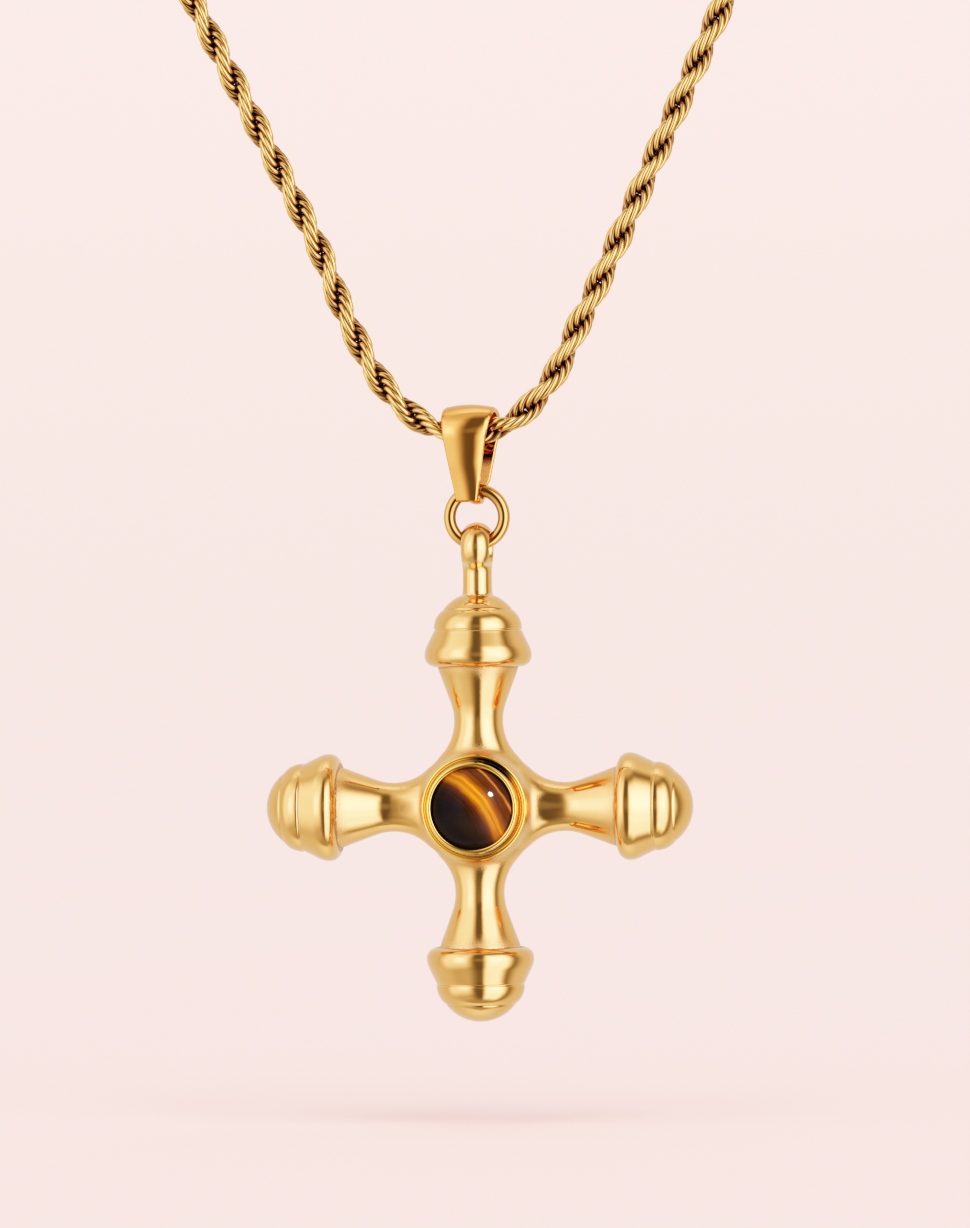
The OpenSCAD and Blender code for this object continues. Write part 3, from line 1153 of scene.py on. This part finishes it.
@dataclass
class Bail(Part):
    """Folded strip over the chain, closed under the ring by a narrow tab."""

    body: ClassVar[str] = "bail"
    slot: ClassVar[str] = "bail"

    arch_r: float = 2.0
    fold_r: float = 0.9
    thick: float = 0.42
    half_top: float = 2.46
    half_low: float = 1.04
    taper_from: float = 1.7
    face_low: float = -6.62
    face_lean: float = -0.2
    rear_lean: float = 0.15
    rear_low: float = -5.5
    fold_drop: float = 5.5
    tab_half: float = 0.55
    tab_x: float = 0.55
    tab_end_deg: float = -146.0
    turn_deg: float = 8.0
    crown: float = 0.25
    lift: float = 0.15
    bow: float = 0.42
    slant: float = 0.34
    slant_fade: float = 3.5
    arch_flat: float = 0.9
    bow_until: float = 0.3
    edge_curve: float = 0.1
    # Height below which the inner face takes the matt inner tone that stands in for the light inside the
    # fold, and strength of the painted shade on the inner face above it
    inside_from: float = -2.4
    shade: float = 0.8
    across_steps: int = 19
    leaf_steps: int = 26
    arch_steps: int = 40
    fold_steps: int = 16

    def edges(self, z: float, lean: float) -> Array:
        """Left and right edge of a leaf at a height.

        Args:
            z: Height from the arch's centre.
            lean: How far the leaf's lower end stands to the right.

        Returns:
            The two edges.
        """
        half = self.half_low + (self.half_top - self.half_low) * share(z, self.face_low, self.taper_from)
        return lean * share(z, self.taper_from, self.face_low) + np.array((-half, half))

    def path(self) -> list[Station]:
        """Stations along the strip, from the front leaf's end over the arch to the tab's end.

        Returns:
            The stations.
        """
        top, low = self.arch_r + self.thick / 2, self.fold_r + self.thick / 2
        lean = math.asin((top - low) / self.fold_drop)
        out = (-math.cos(lean), -math.sin(lean))
        start = (top * out[0], top * out[1])
        run = (low * out[0] - start[0], low * out[1] - self.fold_drop - start[1])
        tab = self.tab_x + np.array((-self.tab_half, self.tab_half))
        stations = []
        for t in np.linspace((self.face_low - start[1]) / run[1], 0, self.leaf_steps):
            z = start[1] + run[1] * t
            stations.append(Station(start[0] + run[0] * t, z, *out, *self.edges(z, self.face_lean)))
        for angle in np.linspace(math.pi + lean, -lean, self.arch_steps)[1:-1]:
            across, up = math.cos(angle), math.sin(angle)
            stations.append(Station(top * across, top * up, across, up, *self.edges(top * up, 0)))
        for t in np.linspace(0, 1, self.leaf_steps):
            z = start[1] + run[1] * t
            leaf = share(z, self.rear_low, self.rear_low + 1)
            leaf *= leaf * (3 - 2 * leaf)
            edges = self.edges(z, self.rear_lean) * leaf + tab * (1 - leaf)
            stations.append(Station(-start[0] - run[0] * t, z, -out[0], out[1], *edges))
        for angle in np.linspace(-lean, math.radians(self.tab_end_deg), self.fold_steps)[1:]:
            across, up = math.cos(angle), math.sin(angle)
            stations.append(Station(low * across, low * up - self.fold_drop, across, up, *tab))
        return stations

    def section(self) -> list:
        """Outline across the strip, with round edges.

        Returns:
            Points as share of the half width and share of the half thickness.
        """
        flat = np.linspace(self.edge_curve - 1, 1 - self.edge_curve, self.across_steps).tolist()
        right = [(1 - self.edge_curve * (1 - math.cos(a)), math.sin(a))
                 for a in np.radians((60, 30, 0, -30, -60))]
        left = [(-u, v) for u, v in right[::-1]]
        return [(u, 1.0) for u in flat] + right + [(u, -1.0) for u in flat[::-1]] + left

    def rise(self, station: Station, u: float, v: float) -> float:
        """How far a point of the section stands out from the strip's middle.

        Args:
            station: Place on the strip.
            u: Point's share of the half width.
            v: Point's share of the half thickness.

        Returns:
            The distance.
        """
        up = max(station.out_z, 0)
        rise = v * self.thick / 2 - up**2 * self.crown * u * u
        if v > 0:
            rise += up**2 * self.lift
        if v > 0 and station.out_y < self.bow_until:
            slant = self.slant * share(station.z, self.face_low, self.face_low + self.slant_fade)
            wide = (station.right - station.left) / 2 / self.half_top
            rise += wide * (1 - self.arch_flat * up) * (self.bow * (1 - u * u) - slant * u)
        return rise

    def build(self) -> None:
        """Builds and dresses the bail."""
        section, stations = self.section(), self.path()
        verts, inside, shade = [], [], []
        for station in stations:
            middle, reach = (station.left + station.right) / 2, (station.right - station.left) / 2
            for u, v in section:
                rise = self.rise(station, u, v)
                verts.append((middle + u * reach, station.y + station.out_y * rise,
                              station.z + station.out_z * rise))
            # Inner face: painted shade higher up, and lower down the matt inner tone that stands in for
            # the light inside the fold
            inner = [v <= -1 for _, v in section]
            below = share(station.z, self.inside_from, self.inside_from - 1)
            inside += [below * side for side in inner]
            shade += [self.shade * (1 - below) * side for side in inner]
        n, rows = len(section), len(stations)
        faces = []
        for i, k in itertools.product(range(rows - 1), range(n)):
            j = (k + 1) % n
            faces.append([i * n + k, i * n + j, (i + 1) * n + j, (i + 1) * n + k])
        faces += [list(range(n))[::-1], [(rows - 1) * n + k for k in range(n)]]
        turn = np.array(Matrix.Rotation(math.radians(-self.turn_deg), 3, "Z"))
        strip = (np.array(verts) @ turn.T, faces)
        self.dress("bail_strip", strip, WARM_GOLD, "bail", BAIL_AT, inside=inside, crease=shade)


@dataclass
class RopeChain(Part):
    """Rope chain: links that each pass through the next ones and turn as they climb."""

    body: ClassVar[str] = "necklace"
    slot: ClassVar[str] = "chain"

    spacing: float = 0.7
    turn_deg: float = 27.55
    link_r: float = 0.98
    link_h: float = 1.5
    wire_r: float = 0.28
    lean_deg: float = -2.0
    phase_left: float = 76.5
    phase_right: float = 163.6
    segments: int = 28
    sides: int = 8
    route_steps: int = 60
    # Depths and slants of the wire between which the painted shade goes from full to none, darkening the
    # rope's recesses and the wire where it faces inward
    recess: tuple = (0.45, 0.95)
    facing: tuple = (0.15, 0.95)

    def loop(self) -> Array:
        """Route of the whole loop, from the left end through the bail to the right end.

        Returns:
            One point per row.
        """
        rows = []
        for k in range(-len(SIDE_ROUTE) + 1, len(SIDE_ROUTE)):
            across, depth, rise, skew, middle = SIDE_ROUTE[abs(k)]
            side = -1 if k < 0 else 1
            rows.append((side * across + middle, depth - side * skew, rise - DROP))
        return np.array(rows, float)

    def curve(self) -> tuple[Array, Array]:
        """Fine points on the smooth route and the distance along it.

        Returns:
            The points and the distances.
        """
        loop = self.loop()
        step = np.diff(loop, axis=0)
        pace = np.linalg.norm(step, axis=1)
        unit = step / pace[:, None]
        heading = np.empty_like(loop)
        heading[0], heading[-1] = unit[0], unit[-1]
        mixed = unit[:-1] * pace[1:, None] + unit[1:] * pace[:-1, None]
        heading[1:-1] = mixed / np.linalg.norm(mixed, axis=1)[:, None]
        fine = []
        t = np.linspace(0, 1, self.route_steps, endpoint=False)[:, None]
        s = 1 - t
        for i in range(len(step)):
            a, b = heading[i] * pace[i], heading[i + 1] * pace[i]
            fine.append(loop[i] * (1 + 2 * t) * s * s + a * t * s * s
                        + loop[i + 1] * t * t * (3 - 2 * t) - b * t * t * s)
        points = np.concatenate([*fine, loop[-1:]])
        run = np.concatenate([[0], np.cumsum(np.linalg.norm(np.diff(points, axis=0), axis=1))])
        return points, run

    def frames(self, at: Array) -> tuple[Array, Array, Array, Array]:
        """Untwisted frames at distances along the route.

        Args:
            at: Distances from the left end.

        Returns:
            Points, headings, and two directions across.
        """
        points, run = self.curve()
        heading = np.gradient(points, run, axis=0)
        heading /= np.linalg.norm(heading, axis=1)[:, None]
        across = np.empty_like(points)
        side = np.cross(heading[0], (0, 0, 1))
        across[0] = side / np.linalg.norm(side)
        for i in range(1, len(points)):
            turn = across[i - 1] - heading[i] * (across[i - 1] @ heading[i])
            across[i] = turn / np.linalg.norm(turn)
        place, head, side = (np.stack([np.interp(at, run, rows[:, k]) for k in range(3)], 1)
                             for rows in (points, heading, across))
        head /= np.linalg.norm(head, axis=1)[:, None]
        side -= head * (side * head).sum(1)[:, None]
        side /= np.linalg.norm(side, axis=1)[:, None]
        return place, head, side, np.cross(head, side)

    def links(self, start: float, end: float, phase: float) -> tuple[Surface, Array]:
        """Links between two distances along the route.

        Args:
            start: First distance.
            end: Last distance.
            phase: Turn of the first link, in degrees.

        Returns:
            The vertices and faces, and the strength of the painted shade at each vertex, from 0 to 1,
            greater deeper in the rope and where the wire faces inward.
        """
        count = int((end - start) / self.spacing)
        number = np.arange(count)
        at = start + (number + 0.5) * (end - start) / count
        place, head, side, other = self.frames(at)
        angle = np.radians(phase + self.turn_deg * at / self.spacing)[:, None]
        out = side * np.cos(angle) + other * np.sin(angle)
        lean = math.radians(self.lean_deg)
        up = head * math.cos(lean) + np.cross(head, out) * math.sin(lean)
        normal = np.cross(up, out)
        u = np.linspace(0, 2 * math.pi, self.segments, endpoint=False)
        v = np.linspace(0, 2 * math.pi, self.sides, endpoint=False)
        edge = np.stack([self.link_h * np.cos(u), self.link_r * np.sin(u)])
        edge /= np.linalg.norm(edge, axis=0)

        def spread(a: Array, b: Array) -> Array:
            """Points in every link's plane from their shares of its two directions."""
            return a[None, :, None] * out[:, None] + b[None, :, None] * up[:, None]

        wire = place[:, None] + spread(self.link_r * np.cos(u), self.link_h * np.sin(u))
        tube = (np.cos(v)[None, None, :, None] * spread(*edge)[:, :, None]
                + np.sin(v)[None, None, :, None] * normal[:, None, None])
        verts = wire[:, :, None] + self.wire_r * tube
        off = verts - place[:, None, None]
        off -= (off * head[:, None, None]).sum(-1, keepdims=True) * head[:, None, None]
        reach = np.linalg.norm(off, axis=-1)
        facing = (tube * off).sum(-1) / np.maximum(reach, 0.1)
        # Painted shade in the rope's recesses and where the wire faces inward
        deep = [np.clip((clear - value) / (clear - dark), 0, 1)
                for value, (dark, clear) in ((reach, self.recess), (facing, self.facing))]
        a, b = np.meshgrid(np.arange(self.segments), np.arange(self.sides), indexing="ij")
        a2, b2 = (a + 1) % self.segments, (b + 1) % self.sides
        quad = np.stack([a * self.sides + b, a2 * self.sides + b, a2 * self.sides + b2,
                         a * self.sides + b2], -1).reshape(-1, 4)
        faces = (quad[None] + number[:, None, None] * self.segments * self.sides).reshape(-1, 4)
        return (verts.reshape(-1, 3), faces.tolist()), np.maximum(*deep).reshape(-1)

    def build(self) -> None:
        """Builds and dresses both halves of the chain."""
        length, reach = self.curve()[1][-1], self.link_r + self.wire_r
        spans = {"left": (reach, length / 2, self.phase_left),
                 "right": (length / 2, length - reach, self.phase_right)}
        for side, span in spans.items():
            rope, deep = self.links(*span)
            self.dress(f"rope_{side}", rope, CHAIN_GOLD, f"chain_{side}", crease=deep)
        LOG.info("chain: %.1f mm round", length + 2 * SIDE_ROUTE[-1][0])


@dataclass
class Clasp(Part):
    """Plain barrel clasp at the nape."""

    body: ClassVar[str] = "necklace"
    slot: ClassVar[str] = "clasp"

    radius: float = 2.0
    length: float = 13.0
    socket: float = 1.52
    floor: float = 3.9
    rim: float = 0.1
    groove: float = 0.15
    groove_half: float = 0.3
    sides: int = 96

    def build(self) -> None:
        """Builds and dresses the clasp."""
        end = self.length / 2
        ball = math.hypot(end, self.socket + self.rim)
        # Socket for the chain's end, then the rounded end, the barrel and half of its groove
        half = [(0.0, self.floor), (self.socket - 0.05, self.floor), (self.socket, self.floor + 0.05),
                (self.socket, end - 0.06), (self.socket + 0.05, end)]
        half += [(float(r), math.sqrt(ball**2 - r * r))
                 for r in np.linspace(self.socket + 0.12, self.radius - 0.08, 6)]
        half += [(self.radius, math.sqrt(ball**2 - self.radius**2) - 0.12),
                 (self.radius, self.groove_half),
                 (self.radius - 0.04, 0.2), (self.radius - self.groove + 0.01, 0.14),
                 (self.radius - self.groove, 0.0)]
        outline = half + [(r, -h) for r, h in half[-2::-1]]
        verts, faces = turned(outline, self.sides, Along.X)
        barrel = (verts, [face[::-1] for face in faces])
        self.dress("clasp_barrel", barrel, CROSS_GOLD, "clasp", (0, self.radius, 0))


# Studio


@dataclass(frozen=True)
class Panel:
    """Soft card of the studio, placed by direction as seen from the object."""

    azimuth: float
    half_width: float
    side_fades: tuple
    elevation: float
    half_height: float
    rise_fade: float
    level: float

    def light(self, n: Nodes, turn: Socket, rise: Socket) -> Socket:
        """Light that the card gives from a direction.

        Args:
            n: Nodes of the world.
            turn: Degrees to the right of the camera.
            rise: Degrees above level.

        Returns:
            The light.
        """
        side = n.math("WRAP", n.math("SUBTRACT", turn, self.azimuth), 180, -180)
        above = n.math("ABSOLUTE", n.math("SUBTRACT", rise, self.elevation))
        edges = [n.fade(side, sign * (self.half_width - soft / 2), sign * (self.half_width + soft / 2))
                 for sign, soft in zip((-1, 1), self.side_fades)]
        edges.append(n.fade(above, self.half_height - self.rise_fade / 2,
                            self.half_height + self.rise_fade / 2))
        return n.fold("MULTIPLY", *edges, self.level)


@dataclass(frozen=True)
class ToneCurve:
    """Film-like response: deep shades and a long soft shoulder."""

    white: float = 4.0
    toe: float = 1.25
    stops: tuple = (0.02, 0.05, 0.1, 0.16, 0.24, 0.34, 0.46, 0.6, 0.78)

    def shade(self, light: float) -> float:
        """Shown brightness of a light level."""
        return 1 - math.exp(-(light**self.toe))

    def light(self, shade: float) -> float:
        """Light level that shows as a brightness."""
        return (-math.log(1 - shade)) ** (1 / self.toe)

    def apply(self) -> None:
        """Puts the curve on the scene's view."""
        view = bpy.context.scene.view_settings
        view.view_transform = "Standard"
        view.use_curve_mapping = True
        mapping = view.curve_mapping
        mapping.white_level = (self.white,) * 3
        curve = mapping.curves[3]
        curve.points[0].location = (0, 0)
        curve.points[1].location = (1, self.shade(self.white))
        for stop in self.stops:
            curve.points.new(stop, self.shade(stop * self.white))
        mapping.update()


@dataclass(frozen=True)
class Studio:
    """Camera, floor and soft light."""

    azimuth: float = 7.5
    elevation: float = 1.5
    roll: float = -0.48
    distance: float = 600.0
    sensor: float = 36.0
    frame_px: tuple = (970, 1228)
    centre_px: tuple = (479.3, 806.8)
    mm_per_px: float = 0.095
    clip_m: tuple = (0.01, 20.0)

    floor_z: float = -228.0
    floor_half: float = 3000.0
    # Shown colours of the backdrop and, where it meets the floor, of the horizon
    backdrop: tuple = (0.956, 0.835, 0.807)
    horizon: tuple = (0.9387, 0.803, 0.7758)
    backdrop_fade: tuple = (6.0, -0.7)

    base: float = 0.25
    top: float = 0.9
    top_fade: tuple = (80.0, 52.0)
    bottom: float = 0.5
    bottom_fade: tuple = (-85.0, -45.0)
    panels: tuple = (
        Panel(-57, 33, (30, 26), 17, 43, 44, 2.0),
        Panel(-58, 34, (44, 40), -42, 22, 30, 0.75),
        Panel(-46, 12, (20, 20), 8, 18, 26, 1.0),
        Panel(40, 29, (18, 30), 14, 33, 34, 3.1),
        Panel(40, 29, (18, 30), -40, 22, 26, 2.6),
        Panel(37, 14, (20, 20), 8, 16, 24, 1.0),
        Panel(180, 88, (44, 44), 0, 90, 16, 1.05),
        Panel(0, 16, (22, 22), 5, 12, 18, 0.22),
    )
    # Share of the red light in green and blue, and how much it gains in brighter light
    green: tuple = (0.93, 0.045)
    blue: tuple = (0.62, 0.34)
    tint_full: float = 2.9

    sun_spread: float = 60.0
    sun_energy: float = 4.2
    sun_tilt: float = 38.0
    key_width: float = 140.0
    key_energy: float = 44.0
    key_azimuth: float = 43.0
    key_elevation: float = 31.0
    key_distance: float = 800.0

    def camera(self) -> None:
        """Camera at the photograph's angle, aimed so that the cross falls where it should."""
        back = direction(self.azimuth, self.elevation)
        level = direction(self.azimuth + 90, 0)
        above = back.cross(level)
        roll = math.radians(self.roll)
        right = level * math.cos(roll) + above * math.sin(roll)
        up = above * math.cos(roll) - level * math.sin(roll)
        target = Vector(CROSS_AT)
        off = (self.frame_px[0] / 2 - self.centre_px[0], self.centre_px[1] - self.frame_px[1] / 2)
        aim = target + (right * off[0] + up * off[1]) * self.mm_per_px
        place = target + back * self.distance
        look = (aim - place).normalized()
        side = look.cross(up).normalized()
        turn = Matrix((side, side.cross(look), -look)).transposed()
        data = bpy.data.cameras.new("camera")
        data.sensor_width = self.sensor
        data.lens = self.sensor * self.distance / (self.frame_px[1] * self.mm_per_px)
        data.clip_start, data.clip_end = self.clip_m
        camera = add_to_scene("camera", data)
        camera.matrix_world = Matrix.Translation(place * MM) @ turn.to_4x4()
        bpy.context.scene.camera = camera

    def floor(self) -> None:
        """Wide pale floor under the hanging cross, left out of the gold's reflections."""
        corners = [(x * self.floor_half, y * self.floor_half, 0)
                   for x, y in ((-1, -1), (1, -1), (1, 1), (-1, 1))]
        piece = make_object("floor", (np.array(corners), [[0, 1, 2, 3]]), (0, 0, self.floor_z))
        PaleFloor().put_on(piece)
        piece.visible_glossy = False

    def light(self) -> None:
        """World of soft panels on a dim base, with a pale backdrop for the camera."""
        world = bpy.data.worlds.new("studio")
        bpy.context.scene.world = world
        world.use_nodes = True
        n = Nodes(world.node_tree)
        x, y, z = n.split(n.add("TexCoord").outputs["Generated"])
        turn = n.math("DEGREES", n.math("ARCTAN2", x, n.math("MULTIPLY", y, -1.0)))
        turn = n.math("SUBTRACT", turn, self.azimuth)
        rise = n.math("DEGREES", n.math("ARCSINE", z))
        level = n.fold("ADD", self.base, n.math("MULTIPLY", n.fade(rise, *self.top_fade), self.top),
                       n.math("MULTIPLY", n.fade(rise, *self.bottom_fade), self.bottom),
                       *[panel.light(n, turn, rise) for panel in self.panels])
        full = n.math("MINIMUM", level, self.tint_full)
        tints = {"Red": level}
        for name, (part, gain) in (("Green", self.green), ("Blue", self.blue)):
            tint = n.math("ADD", n.math("MULTIPLY", full, gain), part)
            tints[name] = n.math("MULTIPLY", level, tint)
        light = n.add("CombineColor", tints).outputs["Color"]
        curve = ToneCurve()
        low, high = (tuple(map(curve.light, shades)) for shades in (self.horizon, self.backdrop))
        far = n.blend(n.fade(rise, *self.backdrop_fade), low, high)
        seen = n.add("LightPath").outputs["Is Camera Ray"]
        n.feed(n.tree.nodes["Background"].inputs["Color"], n.blend(seen, light, far))

    def lamps(self, stone: bpy.types.Object) -> None:
        """Overhead lamp for the floor and the stone's body, and a small key for the stone's spark.

        Args:
            stone: Stone that alone gets the spark.
        """
        data = bpy.data.lights.new("overhead_lamp", "SUN")
        data.angle = math.radians(self.sun_spread)
        data.energy = self.sun_energy
        lamp = add_to_scene("overhead_lamp", data)
        lamp.rotation_euler = (math.radians(self.sun_tilt), 0, math.radians(self.azimuth))
        lamp.visible_glossy = False
        data = bpy.data.lights.new("key_lamp", "AREA")
        data.shape = "DISK"
        data.size = self.key_width * MM
        data.energy = self.key_energy
        lamp = add_to_scene("key_lamp", data)
        away = direction(self.azimuth + self.key_azimuth, self.key_elevation)
        lamp.location = (Vector(CROSS_AT) + away * self.key_distance) * MM
        lamp.rotation_mode = "QUATERNION"
        lamp.rotation_quaternion = away.to_track_quat("Z", "Y")
        only = bpy.data.collections.new("stone_light")
        only.objects.link(stone)
        lamp.light_linking.receiver_collection = only

    def build(self) -> None:
        """Builds the camera, the floor and the world's light."""
        self.camera()
        self.floor()
        self.light()


def main() -> None:
    """Builds every part of the necklace and notes the sizes."""
    logging.basicConfig(level=logging.INFO, format="%(name)s: %(message)s", stream=sys.stdout)
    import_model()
    ToneCurve().apply()
    studio, stone = Studio(), Stone()
    studio.build()
    for part in (Cross(), stone, JumpRing(), Bail(), RopeChain(), Clasp()):
        part.build()
        for piece in part.pieces:
            LOG.info("%s: %d faces", piece.name, len(piece.data.polygons))
    studio.lamps(stone.pieces[0])


if __name__ == "__main__":
    main()
